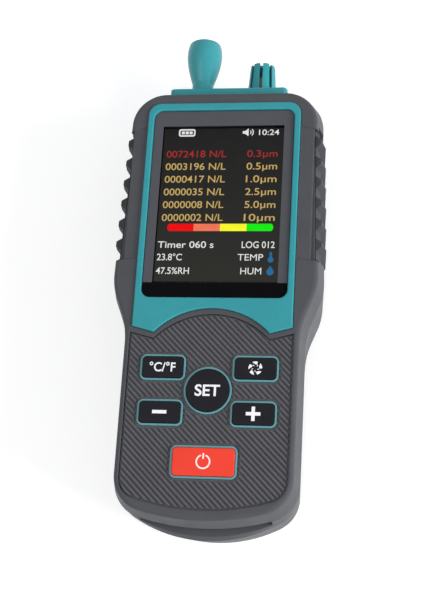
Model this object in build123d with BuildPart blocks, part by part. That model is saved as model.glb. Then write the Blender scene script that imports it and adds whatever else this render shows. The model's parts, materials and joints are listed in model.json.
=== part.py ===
from build123d import *
import math
import os

os.makedirs("parts", exist_ok=True)

# Handheld airborne particle counter, lying on its back. Millimetres.
# X runs across, Y runs towards the sampling end, Z runs up from the back face to the display face.
# The origin is on the back face, under the middle of the overall length.

# Housing
body_length = 158.0
thickness = 38.0
head_top_width = 68.4
head_width = 73.6
handle_width = 62.0
shoulder_drop = 74.2
waist_drop = 88.7
top_corner_radius = 12.0
shoulder_radius = 22.0
waist_radius = 30.0
end_corner_radius = 12.0
end_arc_radius = 80.0
step_arc_radius = 48.0
wall = 2.2
face_wall = 2.4
back_wall = 2.4
front_depth = 9.0
end_step = 3.0
end_step_height = 7.0
end_tuck = 2.3
front_draft = 1.6
back_draft = 2.5
front_edge_radius = 1.5
back_edge_radius = 2.0
seam_edge = 0.25
fit_gap = 0.1

# Rubber grips in the sides of the head
grip_depth = 2.6
grip_length = 50.0
grip_drop = 14.4
grip_height = 22.8
grip_front_lip = 2.4
grip_proud = 0.8
tooth_pitch = 7.7
tooth_depth = 1.9
tooth_rise = 1.2
tooth_taper = 0.8
saddle_gap = 0.5
saddle_depth = 0.35
saddle_slant = 3.2
saddle_low_slant = 1.1
saddle_edge = 2.5

# Display, its window and the frame round it
display_drop = 43.2
active_width = 43.2
active_length = 57.6
active_margin = 0.8
window_width = 50.0
window_length = 70.0
window_thickness = 1.2
window_sink = 0.1
window_radius = 3.0
frame_side = 2.3
frame_top = 2.9
frame_thickness = 1.5
frame_proud = 0.7
frame_radius = 4.5
frame_leg = 10.4
frame_cusp_drop = 2.1
frame_cusp_x = 19.7
frame_arch_rise = 8.6
frame_edge = 0.5
glass_thickness = 1.2
tray_thickness = 1.6
tray_wall = 0.9

# Ribbed panel and keys
panel_gap = 2.0
panel_half_width = 27.8
panel_length = 59.4
panel_end_radius = 7.0
panel_thickness = 1.2
panel_sink = 0.4
panel_ledge = 1.6
rib_pitch = 1.45
rib_groove = 0.75
rib_depth = 0.6
rib_angle = 45.0
rib_margin = 0.8
panel_moat = 0.55
collar_wall = 0.6
collar_gap = 0.1
guide_thickness = 1.2
guide_margin = 0.8
guide_post_radius = 1.6
upper_post_x = 15.6
lower_post_x = 18.0
key_gap = 0.15
key_proud = 0.6
collar_rise = 0.3
key_edge = 0.35
key_flange = 0.7
key_flange_height = 0.8
key_corner = 2.0
key_x = 15.6
key_width = 15.3
key_height = 8.8
upper_row_drop = 59.9
lower_row_drop = 75.3
set_drop = 67.6
set_diameter = 16.0
power_drop = 91.5
power_width = 22.1
power_height = 10.8
key_travel = 0.8
stem_radius = 1.6
stem_gap = 0.1
switch_size = 6.0
switch_height = 2.2
switch_floor = 0.3

# Electronics
board_thickness = 1.6
board_depth = 8.0
board_width = 45.0
board_neck_width = 37.0
board_tongue_width = 24.0
board_top_drop = 3.8
board_neck_drop = 10.0
board_end_rise = 17.5
board_tongue_rise = 12.0
board_boss_radius = 2.2
board_screw_radius = 1.0
board_screw_length = 6.0
board_screw_head_radius = 1.9
board_screw_head = 1.2
upper_boss_x = 14.0
upper_boss_drop = 6.4
lower_boss_x = 19.5
lower_boss_drop = 85.2
pad_width = 40.0
pad_length = 6.0
pad_reach = 24.0
buzzer_radius = 6.0
buzzer_height = 5.0
buzzer_port = 1.5
buzzer_x = 15.0
buzzer_drop = 61.4

# Housing screws
screw_boss_radius = 2.8
screw_radius = 1.0
screw_length = 14.0
screw_head_radius = 1.9
screw_head = 1.5
screw_gap = 0.2
screw_pilot = 5.0
screw_tip_gap = 0.5
top_screw_x = 22.0
top_screw_drop = 6.3
shoulder_screw_x = 26.0
shoulder_screw_drop = 81.7

# Plate through the top end
plate_width = 42.6
plate_height = 26.0
plate_front_depth = 5.2
plate_proud = 3.3
plate_inner = 1.0
plate_radius = 1.5
plate_edge = 0.4

# Sampling probe
probe_x = -12.0
horn_height = 24.9
horn_neck = 7.9
horn_belly = 12.7
horn_shoulder = 12.4
horn_mouth = 9.4
horn_lip = 0.9
horn_funnel = 4.0
horn_neck_height = 8.3
horn_waist = 10.9
horn_waist_height = 13.4
horn_belly_height = 17.6
horn_shoulder_height = 23.7
horn_socket_depth = 8.0
nozzle_radius = 2.5
nozzle_bore = 1.5
nozzle_gap = 0.05
nozzle_flange_radius = 5.0
nozzle_flange = 1.6
nozzle_tail = 5.0
seal_radius = 0.3
seal_gap = 0.02
seal_height = 4.0

# Cage of the temperature and humidity sensor
cage_x = 10.4
cage_height = 15.0
cage_base = 11.0
cage_tip = 9.1
cage_wall = 1.5
cage_slots = 8
cage_slot_width = 1.2
cage_ring = 1.8
cage_root = 2.0
cage_cap = 1.0
cage_crown = 0.8
sensor_thickness = 1.0
sensor_width = 3.6
sensor_height = 13.0
sensor_shift = 1.1
sensor_root = 6.0

# Optical chamber and air path
chamber_width = 19.0
chamber_length = 21.0
chamber_height = 18.0
chamber_drop = 15.0
chamber_bore = 2.4
chamber_spigot = 3.0
beam_radius = 1.0
detector_thickness = 1.6
detector_margin = 1.5
detector_window = 3.0
detector_post_radius = 2.5
laser_radius = 4.2
laser_length = 17.0
laser_seat = 5.0
laser_cap_radius = 3.2
laser_cap_length = 5.0
tube_wall = 1.3
blower_size = 30.0
blower_height = 10.0
blower_wall = 1.2
blower_drop = 51.5
blower_stand = 4.0
blower_post_radius = 2.5
blower_post_reach = 12.0
blower_inlet = 5.0
blower_outlet = 9.0
rotor_radius = 12.0
rotor_gap = 0.7
rotor_lift = 0.3
rotor_hub = 4.0
rotor_blades = 11
rotor_blade_thickness = 0.8
rotor_blade_length = 4.6
rotor_blade_angle = 35.0
rotor_disc = 0.8
shaft_radius = 1.0
shaft_fit = 0.05
motor_radius = 6.0
motor_height = 1.6
duct_width = 14.0
duct_height = 7.0
duct_wall = 1.2

# Battery
cell_radius = 9.1
cell_length = 50.0
cell_spacing = 19.4
cell_drop = 88.0
cell_gap = 0.1
cradle_wall = 1.4
cradle_floor = 1.2
cradle_height = 10.0
contact_thickness = 0.4
contact_radius = 4.0

# Charging socket in the recess of the end
recess_width = 44.0
recess_height = 4.5
recess_depth = 4.4
socket_x = -6.4
socket_width = 9.0
socket_height = 3.3
socket_length = 7.6
socket_wall = 0.3
socket_gap = 0.2
tongue_width = 6.6
tongue_thickness = 0.7
tongue_length = 5.0

# Tripod socket and vents in the back
tripod_radius = 3.175
tripod_insert_radius = 4.6
tripod_depth = 8.0
tripod_boss_radius = 6.2
tripod_drop = 77.0
vent_count = 5
vent_width = 1.6
vent_length = 16.0
vent_pitch = 3.6
vent_x = 15.5
vent_drop = 46.0

# Places worked out from the sizes above
overall_length = body_length + plate_proud + horn_height
end_y = -overall_length / 2
top_y = end_y + body_length
shoulder_y = top_y - shoulder_drop
waist_y = top_y - waist_drop
parting_z = thickness - front_depth
step_z = parting_z - end_step_height
face_inner_z = thickness - face_wall
display_y = top_y - display_drop
probe_z = thickness / 2
plate_y = top_y + plate_proud
plate_inner_y = top_y - wall - plate_inner
board_z = thickness - board_depth
board_low_z = board_z - board_thickness
grip_low_z = thickness - grip_front_lip - grip_height
grip_high_y = top_y - grip_drop
recess_z = parting_z - recess_height
recess_floor_y = end_y + end_step + recess_depth
chamber_y = top_y - chamber_drop
chamber_low_y = chamber_y - chamber_length
chamber_low_z = probe_z - chamber_height / 2
detector_low_z = chamber_low_z - detector_thickness
blower_y = top_y - blower_drop
blower_z = back_wall + blower_stand
blower_top_z = blower_z + blower_height
tripod_y = top_y - tripod_drop
screw_seat_z = parting_z + screw_pilot - screw_tip_gap - screw_length
end_wall = recess_depth + wall
cavity_end_y = end_y + end_step + end_wall


def side_x(y):
    """Half width of the head at its widest level."""
    share = (top_y - y) / shoulder_drop
    return head_top_width / 2 + (head_width - head_top_width) / 2 * share


def corners(sketch, x, y):
    """The pair of corners at a distance x from the middle, at height y."""
    return [v for v in sketch.vertices() if abs(abs(v.X) - x) < 0.01 and abs(v.Y - y) < 0.01]


def arc_drop(radius, x):
    """How far a curved end has fallen back at a distance x from the middle."""
    return radius - math.sqrt(radius**2 - x**2)


def housing_section(height, draft, end_inset, side=0.0, head=0.0, end_radius=end_arc_radius):
    """Outline of the housing at one height: head, shoulders, handle and curved end."""
    top = top_y - draft - side
    end = end_y + end_inset
    head_top = head_top_width / 2 - draft - head
    shoulder = head_width / 2 - draft - head
    handle = handle_width / 2 - draft - side
    side_end = end + arc_drop(end_radius, handle)
    with BuildSketch(Plane.XY.offset(height)) as section:
        with BuildLine():
            Polyline(
                (handle, side_end),
                (handle, waist_y),
                (shoulder, shoulder_y),
                (head_top, top),
                (-head_top, top),
                (-shoulder, shoulder_y),
                (-handle, waist_y),
                (-handle, side_end),
            )
            ThreePointArc((-handle, side_end), (0, end), (handle, side_end))
        make_face()
        fillet(corners(section, head_top, top), top_corner_radius - side)
        fillet(corners(section, shoulder, shoulder_y), shoulder_radius - head)
        fillet(corners(section, handle, waist_y), waist_radius + side)
        fillet(corners(section, handle, side_end), end_corner_radius - side)
    return section.sketch


def back_draft_at(height):
    """How far the side of the back shell is drawn in at one height."""
    return back_draft * (parting_z - height) / parting_z


def cavity_section(height, draft):
    """Outline of the hollow inside the housing at one height."""
    return housing_section(height, draft, end_step + end_wall + draft, wall, grip_depth + wall)


def front_draft_at(height):
    """How far the side of the front shell is drawn in at one height."""
    return front_draft * (height - parting_z) / front_depth


# Screw sites
housing_screw_sites = [
    (side * x, top_y - drop)
    for side in (-1, 1)
    for x, drop in ((top_screw_x, top_screw_drop), (shoulder_screw_x, shoulder_screw_drop))
]
board_screw_sites = [
    (side * x, top_y - drop)
    for side in (-1, 1)
    for x, drop in ((upper_boss_x, upper_boss_drop), (lower_boss_x, lower_boss_drop))
]


# Posts of the back shell
chamber_side_x = probe_x + chamber_width / 2
laser_y = chamber_y - chamber_length / 2
detector_post_sites = [
    (probe_x + side * chamber_width / 4, laser_y + end * chamber_length / 4)
    for side in (-1, 1)
    for end in (-1, 1)
]
blower_post_sites = [
    (probe_x + side * blower_post_reach, blower_y + end * blower_post_reach)
    for side in (-1, 1)
    for end in (-1, 1)
]
socket_z = board_low_z - socket_height / 2
socket_y = recess_floor_y + arc_drop(end_arc_radius, socket_x)


# Outlines on the display face
frame_half = window_width / 2 + frame_side
window_centre_y = display_y - 0.3
window_low_y = window_centre_y - window_length / 2
frame_top_y = window_centre_y + window_length / 2 + frame_top
frame_leg_y = window_low_y - frame_leg
frame_cusp_y = frame_leg_y - frame_cusp_drop
frame_arch_y = frame_cusp_y + frame_arch_rise


def window_outline(height, grow=0.0):
    """Outline of the window."""
    with BuildSketch(Plane.XY.offset(height)) as outline:
        with Locations((0, window_centre_y)):
            RectangleRounded(window_width + 2 * grow, window_length + 2 * grow, window_radius + grow)
    return outline.sketch


def frame_outline(height, grow=0.0):
    """Outer outline of the display frame, with its arched lower edge."""
    with BuildSketch(Plane.XY.offset(height)) as outline:
        with BuildLine():
            Polyline(
                (frame_cusp_x, frame_cusp_y),
                (frame_half, frame_leg_y),
                (frame_half, frame_top_y),
                (-frame_half, frame_top_y),
                (-frame_half, frame_leg_y),
                (-frame_cusp_x, frame_cusp_y),
            )
            ThreePointArc((-frame_cusp_x, frame_cusp_y), (0, frame_arch_y), (frame_cusp_x, frame_cusp_y))
        make_face()
        fillet(corners(outline, frame_half, frame_top_y), frame_radius)
        if grow:
            offset(amount=grow)
    return outline.sketch


panel_top_y = frame_leg_y - panel_gap
panel_cusp_y = frame_cusp_y - panel_gap
panel_arch_y = frame_arch_y - panel_gap
panel_low_y = panel_top_y - panel_length
panel_side_end_y = panel_low_y + arc_drop(end_arc_radius, panel_half_width)


def panel_outline(height, inset=0.0):
    """Outline of the ribbed panel: an arched top edge and a gently curved end."""
    with BuildSketch(Plane.XY.offset(height)) as outline:
        with BuildLine():
            Polyline(
                (frame_cusp_x, panel_cusp_y),
                (panel_half_width, panel_top_y),
                (panel_half_width, panel_side_end_y),
            )
            ThreePointArc(
                (panel_half_width, panel_side_end_y),
                (0, panel_low_y),
                (-panel_half_width, panel_side_end_y),
            )
            Polyline(
                (-panel_half_width, panel_side_end_y),
                (-panel_half_width, panel_top_y),
                (-frame_cusp_x, panel_cusp_y),
            )
            ThreePointArc((-frame_cusp_x, panel_cusp_y), (0, panel_arch_y), (frame_cusp_x, panel_cusp_y))
        make_face()
        fillet(corners(outline, panel_half_width, panel_side_end_y), panel_end_radius)
        if inset:
            offset(amount=-inset)
    return outline.sketch


# Keys: name, place and outer size of the collar round each
upper_row_y = display_y - upper_row_drop
lower_row_y = display_y - lower_row_drop
set_y = display_y - set_drop
power_y = display_y - power_drop
corner_keys = {
    "key_units": (-key_x, upper_row_y),
    "key_fan": (key_x, upper_row_y),
    "key_minus": (-key_x, lower_row_y),
    "key_plus": (key_x, lower_row_y),
}
key_sites = list(corner_keys.values()) + [(0, set_y), (0, power_y)]


def corner_key_outline(height, site, inset):
    """Outline of one corner key, drawn in from the outside of its collar."""
    with BuildSketch(Plane.XY.offset(height)) as outline:
        with Locations(site):
            RectangleRounded(key_width - 2 * inset, key_height - 2 * inset, key_corner - inset)
    return outline.sketch


def set_key_outline(height, inset):
    """Outline of the round key, drawn in from the outside of its collar."""
    with BuildSketch(Plane.XY.offset(height)) as outline:
        with Locations((0, set_y)):
            Circle(set_diameter / 2 - inset)
    return outline.sketch


def power_key_outline(height, inset):
    """Outline of the power key, drawn in from the outside of its collar."""
    with BuildSketch(Plane.XY.offset(height)) as outline:
        with Locations((0, power_y)):
            RectangleRounded(power_width - 2 * inset, power_height - 2 * inset, key_corner - inset)
    return outline.sketch


def key_outlines(height, inset):
    """The outlines of all six keys, drawn in from the outsides of their collars."""
    corner = [corner_key_outline(height, site, inset) for site in corner_keys.values()]
    return corner + [set_key_outline(height, inset), power_key_outline(height, inset)]


panel_floor_z = thickness - panel_sink - panel_thickness
guide_low_z = face_inner_z - guide_thickness
flange_low_z = guide_low_z - key_flange_height
stem_low_z = board_z + switch_floor + key_travel + 0.2
guide_posts = [
    (side * x, y) for side in (-1, 1) for x, y in ((upper_post_x, set_y), (lower_post_x, power_y))
]

def plate_outline(grow=0.0):
    """Outline of the top plate, on the plane of its outer face."""
    with BuildSketch(Plane.XZ.offset(-plate_y)) as outline:
        with Locations((0, thickness - plate_front_depth - plate_height / 2)):
            RectangleRounded(plate_width + 2 * grow, plate_height + 2 * grow, plate_radius + grow)
    return outline.sketch


def grip_outline(side, grow=0.0):
    """Plan of one grip, or of its pocket: the inner edge follows the side of the head."""
    high = grip_high_y + grow
    low = high - grip_length - 2 * grow
    outside = head_width / 2 + 2 * grip_proud
    with BuildSketch(Plane.XY.offset(grip_low_z - grow)) as outline:
        with BuildLine():
            Polyline(
                (side * (side_x(high) - grip_depth - grow), high),
                (side * outside, high),
                (side * outside, low),
                (side * (side_x(low) - grip_depth - grow), low),
                close=True,
            )
        make_face()
    return outline.sketch



def saddle_outline(side, inner_x):
    """Plan of the lowered stretch of the face beside the display, from one distance outwards."""
    high = grip_high_y
    low = high - grip_length
    outside = head_width / 2 + 2 * grip_proud
    reach = (inner_x - frame_half) / (outside - frame_half)
    with BuildSketch(Plane.XY.offset(thickness)) as outline:
        with BuildLine():
            Polyline(
                (side * inner_x, high - reach * saddle_slant),
                (side * outside, high - saddle_slant),
                (side * outside, low - saddle_low_slant),
                (side * inner_x, low - reach * saddle_low_slant),
                close=True,
            )
        make_face()
    return outline.sketch


plate_cut_depth = plate_proud + wall + front_draft + back_draft + plate_inner + fit_gap

# Front shell: drafted sides, open back, openings for the display and the keys
with BuildPart() as front_shell:
    loft(
        [
            housing_section(parting_z, 0, end_step),
            housing_section(thickness, front_draft, end_step + front_draft),
        ],
        ruled=True,
    )
    fillet(front_shell.faces().sort_by(Axis.Z)[-1].outer_wire().edges(), front_edge_radius)
    chamfer(front_shell.faces().sort_by(Axis.Z)[0].outer_wire().edges(), seam_edge)
    loft(
        [cavity_section(parting_z, 0), cavity_section(face_inner_z, front_draft_at(face_inner_z))],
        ruled=True,
        mode=Mode.SUBTRACT,
    )
    # Bosses for the housing screws and for the main board
    with BuildSketch(Plane.XY.offset(parting_z)) as housing_bosses:
        with Locations(*housing_screw_sites):
            Circle(screw_boss_radius)
    extrude(housing_bosses.sketch, amount=front_depth - face_wall)
    with BuildSketch(Plane.XY.offset(board_z)) as board_bosses:
        with Locations(*board_screw_sites):
            Circle(board_boss_radius)
    extrude(board_bosses.sketch, amount=face_inner_z - board_z)
    with Locations(Plane.XY.offset(parting_z)):
        with Locations(*housing_screw_sites):
            Cylinder(
                screw_radius, screw_pilot, align=(Align.CENTER, Align.CENTER, Align.MIN), mode=Mode.SUBTRACT
            )
    with Locations(Plane.XY.offset(board_z)):
        with Locations(*board_screw_sites):
            Cylinder(
                board_screw_radius,
                board_screw_length - board_thickness,
                align=(Align.CENTER, Align.CENTER, Align.MIN),
                mode=Mode.SUBTRACT,
            )
    # Seats of the frame and window, and the opening over the display
    extrude(
        frame_outline(thickness, fit_gap), amount=frame_proud - frame_thickness, mode=Mode.SUBTRACT
    )
    extrude(
        window_outline(thickness, fit_gap), amount=-window_sink - window_thickness, mode=Mode.SUBTRACT
    )
    with BuildSketch(Plane.XY.offset(thickness)) as display_opening:
        with Locations((0, display_y)):
            Rectangle(active_width + 2 * active_margin, active_length + 2 * active_margin)
    extrude(display_opening.sketch, amount=-face_wall, mode=Mode.SUBTRACT)
    # Seat of the ribbed panel, and the opening for the key guide
    extrude(panel_outline(thickness, -fit_gap), amount=panel_floor_z - thickness, mode=Mode.SUBTRACT)
    extrude(panel_outline(thickness, panel_ledge), amount=-face_wall, mode=Mode.SUBTRACT)
    # Saddles beside the display, whose outer edges are set back above the grips
    for side in (-1, 1):
        extrude(saddle_outline(side, frame_half + saddle_gap), amount=-saddle_depth, mode=Mode.SUBTRACT)
        extrude(
            saddle_outline(side, side_x(grip_high_y) - saddle_edge),
            amount=-grip_front_lip,
            mode=Mode.SUBTRACT,
        )
    # Pockets of the grips and the opening of the top plate
    for side in (-1, 1):
        extrude(grip_outline(side, fit_gap), amount=grip_height + 2 * fit_gap, mode=Mode.SUBTRACT)
    extrude(plate_outline(fit_gap), amount=plate_cut_depth, mode=Mode.SUBTRACT)
front_shell.part.label = "front_shell"
export_step(front_shell.part, "parts/front_shell.step")

# Back shell: three drafted levels, so that its curved end steps out below the socket recess
with BuildPart() as back_shell:
    loft(
        [
            housing_section(0, back_draft, end_tuck, end_radius=step_arc_radius),
            housing_section(step_z, back_draft_at(step_z), 0, end_radius=step_arc_radius),
            housing_section(parting_z, 0, end_step),
        ],
        ruled=True,
    )
    fillet(back_shell.faces().sort_by(Axis.Z)[0].outer_wire().edges(), back_edge_radius)
    chamfer(back_shell.faces().sort_by(Axis.Z)[-1].outer_wire().edges(), seam_edge)
    loft(
        [cavity_section(back_wall, back_draft_at(back_wall)), cavity_section(parting_z, 0)],
        ruled=True,
        mode=Mode.SUBTRACT,
    )
    # Tubes of the housing screws
    with BuildSketch(Plane.XY.offset(back_edge_radius)) as screw_tubes:
        with Locations(*housing_screw_sites):
            Circle(screw_boss_radius)
    extrude(screw_tubes.sketch, amount=parting_z - back_edge_radius)
    # Posts under the detector board and the blower, and the boss of the tripod socket
    with BuildSketch(Plane.XY.offset(back_wall)) as detector_posts:
        with Locations(*detector_post_sites):
            Circle(detector_post_radius)
    extrude(detector_posts.sketch, amount=detector_low_z - back_wall)
    with BuildSketch(Plane.XY.offset(back_wall)) as blower_posts:
        with Locations(*blower_post_sites):
            Circle(blower_post_radius)
    extrude(blower_posts.sketch, amount=blower_stand)
    with BuildSketch(Plane.XY.offset(back_wall)) as tripod_boss:
        with Locations((0, tripod_y)):
            Circle(tripod_boss_radius)
    extrude(tripod_boss.sketch, amount=tripod_depth)
    # Screw holes with deep pockets for the heads
    with BuildSketch(Plane.XY.offset(parting_z)) as screw_holes:
        with Locations(*housing_screw_sites):
            Circle(screw_radius + screw_gap)
    extrude(screw_holes.sketch, amount=-parting_z, mode=Mode.SUBTRACT)
    with BuildSketch(Plane.XY) as screw_pockets:
        with Locations(*housing_screw_sites):
            Circle(screw_head_radius + screw_gap)
    extrude(screw_pockets.sketch, amount=screw_seat_z, mode=Mode.SUBTRACT)
    # Tripod socket
    with BuildSketch(Plane.XY) as tripod_pocket:
        with Locations((0, tripod_y)):
            Circle(tripod_insert_radius + nozzle_gap)
    extrude(tripod_pocket.sketch, amount=tripod_depth, mode=Mode.SUBTRACT)
    # Exhaust vents
    with BuildSketch(Plane.XY) as vents:
        with Locations((vent_x, top_y - vent_drop)):
            with GridLocations(vent_pitch, 1, vent_count, 1):
                SlotOverall(vent_length, vent_width, rotation=90)
    extrude(vents.sketch, amount=back_wall, mode=Mode.SUBTRACT)
    # Recess across the end, with the opening of the charging socket
    with BuildSketch(Plane.XY.offset(recess_z)) as recess:
        with Locations((0, end_y)):
            Rectangle(recess_width, 2 * (end_step + recess_depth + arc_drop(end_arc_radius, recess_width / 2)))
        with Locations((0, recess_floor_y + end_arc_radius)):
            Circle(end_arc_radius, mode=Mode.SUBTRACT)
    extrude(recess.sketch, amount=recess_height, mode=Mode.SUBTRACT)
    with BuildSketch(Plane.XZ.offset(-socket_y)) as socket_opening:
        with Locations((socket_x, socket_z)):
            SlotOverall(socket_width + 2 * socket_gap, socket_height + 2 * socket_gap)
    extrude(socket_opening.sketch, amount=-2 * wall, both=True, mode=Mode.SUBTRACT)
    # Pockets of the grips and the opening of the top plate
    for side in (-1, 1):
        extrude(grip_outline(side, fit_gap), amount=grip_height + 2 * fit_gap, mode=Mode.SUBTRACT)
    extrude(plate_outline(fit_gap), amount=plate_cut_depth, mode=Mode.SUBTRACT)
back_shell.part.label = "back_shell"
export_step(back_shell.part, "parts/back_shell.step")


def grip_body(side, proud):
    """Block in the pocket of one grip, whose outer face stands proud of the drafted side."""
    high_z = grip_low_z + grip_height
    with BuildPart() as body:
        extrude(grip_outline(side), amount=grip_height)
        loft(
            [
                housing_section(grip_low_z, back_draft_at(grip_low_z) - proud, 0),
                housing_section(parting_z, -proud, 0),
                housing_section(high_z, front_draft_at(high_z) - proud, 0),
            ],
            ruled=True,
            mode=Mode.INTERSECT,
        )
    return body.part


def grip_part(side):
    """Rubber grip: saw-tooth ribs that run up the drafted side of the head, on a flat ground."""
    tooth_count = int(grip_length // tooth_pitch)
    first_notch = grip_high_y - (grip_length - tooth_count * tooth_pitch) / 2
    reach = tooth_depth + back_draft + 2 * grip_proud
    rise = tooth_rise * reach / tooth_depth
    fall = (tooth_pitch - tooth_rise) * tooth_taper
    with BuildPart() as grip:
        add(grip_body(side, grip_proud))
        with BuildSketch(Plane.XY.offset(grip_low_z)) as notches:
            for count in range(tooth_count + 1):
                y = first_notch - count * tooth_pitch
                tip_x = side_x(y) + 2 * grip_proud
                with BuildLine():
                    Polyline(
                        (side * (tip_x - reach), y),
                        (side * tip_x, y - rise),
                        (side * tip_x, y + fall),
                        close=True,
                    )
                make_face()
        extrude(notches.sketch, amount=grip_height, mode=Mode.SUBTRACT)
        add(grip_body(side, grip_proud - tooth_depth))
    return grip.part


for side, name in ((-1, "side_grip_left"), (1, "side_grip_right")):
    grip = grip_part(side)
    grip.label = name
    export_step(grip, f"parts/{name}.step")

# Frame round the display: its rounded rim stands proud of the face
frame_low_z = thickness + frame_proud - frame_thickness
with BuildPart() as bezel_frame:
    extrude(frame_outline(frame_low_z), amount=frame_thickness)
    extrude(window_outline(frame_low_z, fit_gap), amount=frame_thickness, mode=Mode.SUBTRACT)
    fillet(bezel_frame.faces().sort_by(Axis.Z)[-1].edges(), frame_edge)
bezel_frame.part.label = "bezel_frame"
export_step(bezel_frame.part, "parts/bezel_frame.step")

with BuildPart() as display_window:
    extrude(window_outline(thickness - window_sink - window_thickness), amount=window_thickness)
display_window.part.label = "display_window"
export_step(display_window.part, "parts/display_window.step")

# Ribbed panel: slanting grooves that end in a moat along the edge and round each key
panel_top_z = panel_floor_z + panel_thickness
panel_middle_y = (panel_arch_y + panel_low_y) / 2
rib_reach = panel_length + 2 * panel_half_width
with BuildPart() as grip_panel:
    extrude(panel_outline(panel_floor_z), amount=panel_thickness)
    for outline in key_outlines(panel_floor_z, -collar_gap):
        extrude(outline, amount=panel_thickness, mode=Mode.SUBTRACT)
    with BuildSketch() as moats:
        add(panel_outline(0))
        add(panel_outline(0, panel_moat), mode=Mode.SUBTRACT)
        for outline in key_outlines(0, -collar_gap - rib_margin):
            add(outline)
    with BuildSketch() as grooves:
        with Locations(Location((0, panel_middle_y), -rib_angle)):
            with GridLocations(1, rib_pitch, 1, int(rib_reach // rib_pitch)):
                Rectangle(rib_reach, rib_groove)
        add(panel_outline(0), mode=Mode.INTERSECT)
        add(moats.sketch)
    extrude(grooves.sketch.moved(Location((0, 0, panel_top_z))), amount=-rib_depth, mode=Mode.SUBTRACT)
grip_panel.part.label = "grip_panel"
export_step(grip_panel.part, "parts/grip_panel.step")

# Key guide: a plate behind the face whose collars come up round the keys
collar_top_z = panel_top_z + collar_rise
with BuildPart() as key_guide_frame:
    extrude(panel_outline(guide_low_z, guide_margin), amount=guide_thickness)
    extrude(
        cavity_section(guide_low_z, front_draft_at(face_inner_z) + fit_gap),
        amount=guide_thickness,
        mode=Mode.INTERSECT,
    )
    for outline in key_outlines(face_inner_z, 0):
        extrude(outline, amount=collar_top_z - face_inner_z)
    for outline in key_outlines(guide_low_z, collar_wall):
        extrude(outline, amount=collar_top_z - guide_low_z, mode=Mode.SUBTRACT)
    with BuildSketch(Plane.XY.offset(board_z)) as posts:
        with Locations(*guide_posts):
            Circle(guide_post_radius)
    extrude(posts.sketch, amount=guide_low_z - board_z)
key_guide_frame.part.label = "key_guide_frame"
export_step(key_guide_frame.part, "parts/key_guide_frame.step")


def key_part(cap, flange, site):
    """A key: a rounded cap, a flange that stays behind its collar and a stem down to its switch."""
    with BuildPart() as key:
        extrude(cap, amount=thickness + key_proud - guide_low_z)
        fillet(key.faces().sort_by(Axis.Z)[-1].edges(), key_edge)
        extrude(flange, amount=key_flange_height)
        with BuildSketch(Plane.XY.offset(stem_low_z)) as stem:
            with Locations(site):
                Circle(stem_radius)
        extrude(stem.sketch, amount=flange_low_z - stem_low_z)
    return key.part


cap_inset = collar_wall + key_gap
flange_inset = cap_inset - key_flange
keys = {
    name: key_part(
        corner_key_outline(guide_low_z, site, cap_inset),
        corner_key_outline(flange_low_z, site, flange_inset),
        site,
    )
    for name, site in corner_keys.items()
}
keys["key_set"] = key_part(
    set_key_outline(guide_low_z, cap_inset), set_key_outline(flange_low_z, flange_inset), (0, set_y)
)
keys["key_power"] = key_part(
    power_key_outline(guide_low_z, cap_inset), power_key_outline(flange_low_z, flange_inset), (0, power_y)
)
for name, key in keys.items():
    key.label = name
    export_step(key, f"parts/{name}.step")

# Switches under the keys, each with a bore for the stem
with BuildPart() as key_switches:
    with BuildSketch(Plane.XY.offset(board_z)) as switch_bodies:
        with Locations(*key_sites):
            Rectangle(switch_size, switch_size)
    extrude(switch_bodies.sketch, amount=switch_height)
    with BuildSketch(Plane.XY.offset(board_z + switch_floor)) as switch_bores:
        with Locations(*key_sites):
            Circle(stem_radius + stem_gap)
    extrude(switch_bores.sketch, amount=switch_height, mode=Mode.SUBTRACT)
key_switches.part.label = "key_switches"
export_step(key_switches.part, "parts/key_switches.step")

# Display module: glass on its backlight tray, held down on the board by two foam pads
glass_z = face_inner_z - glass_thickness
tray_z = glass_z - tray_thickness


def module_block(height, depth, trim=0.0):
    """Block with the plan of the display module."""
    with BuildPart() as block:
        with BuildSketch(Plane.XY.offset(height)) as plan:
            with Locations((0, window_centre_y)):
                Rectangle(window_width - trim, window_length - trim - 2 * active_margin)
        extrude(plan.sketch, amount=depth)
    return block.part


with BuildPart() as lcd_glass:
    add(module_block(glass_z, glass_thickness, tray_wall))
lcd_glass.part.label = "lcd_glass"
export_step(lcd_glass.part, "parts/lcd_glass.step")

with BuildPart() as lcd_backlight_tray:
    add(module_block(tray_z, tray_thickness))
lcd_backlight_tray.part.label = "lcd_backlight_tray"
export_step(lcd_backlight_tray.part, "parts/lcd_backlight_tray.step")

with BuildPart() as display_pads:
    with BuildSketch(Plane.XY.offset(board_z)) as pads:
        with Locations((0, display_y - pad_reach), (0, display_y + pad_reach)):
            Rectangle(pad_width, pad_length)
    extrude(pads.sketch, amount=tray_z - board_z)
display_pads.part.label = "display_pads"
export_step(display_pads.part, "parts/display_pads.step")

# Main board, with a neck between the top screws and a tongue over the charging socket
with BuildPart() as main_board:
    with BuildSketch(Plane.XY.offset(board_low_z)) as board_plan:
        with BuildLine():
            Polyline(
                (board_tongue_width / 2, end_y + board_tongue_rise),
                (board_tongue_width / 2, end_y + board_end_rise),
                (board_width / 2, end_y + board_end_rise),
                (board_width / 2, top_y - board_neck_drop),
                (board_neck_width / 2, top_y - board_neck_drop),
                (board_neck_width / 2, top_y - board_top_drop),
                (-board_neck_width / 2, top_y - board_top_drop),
                (-board_neck_width / 2, top_y - board_neck_drop),
                (-board_width / 2, top_y - board_neck_drop),
                (-board_width / 2, end_y + board_end_rise),
                (-board_tongue_width / 2, end_y + board_end_rise),
                (-board_tongue_width / 2, end_y + board_tongue_rise),
                close=True,
            )
        make_face()
        with Locations(*board_screw_sites):
            Circle(board_screw_radius + fit_gap, mode=Mode.SUBTRACT)
    extrude(board_plan.sketch, amount=board_thickness)
main_board.part.label = "main_board"
export_step(main_board.part, "parts/main_board.step")

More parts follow.
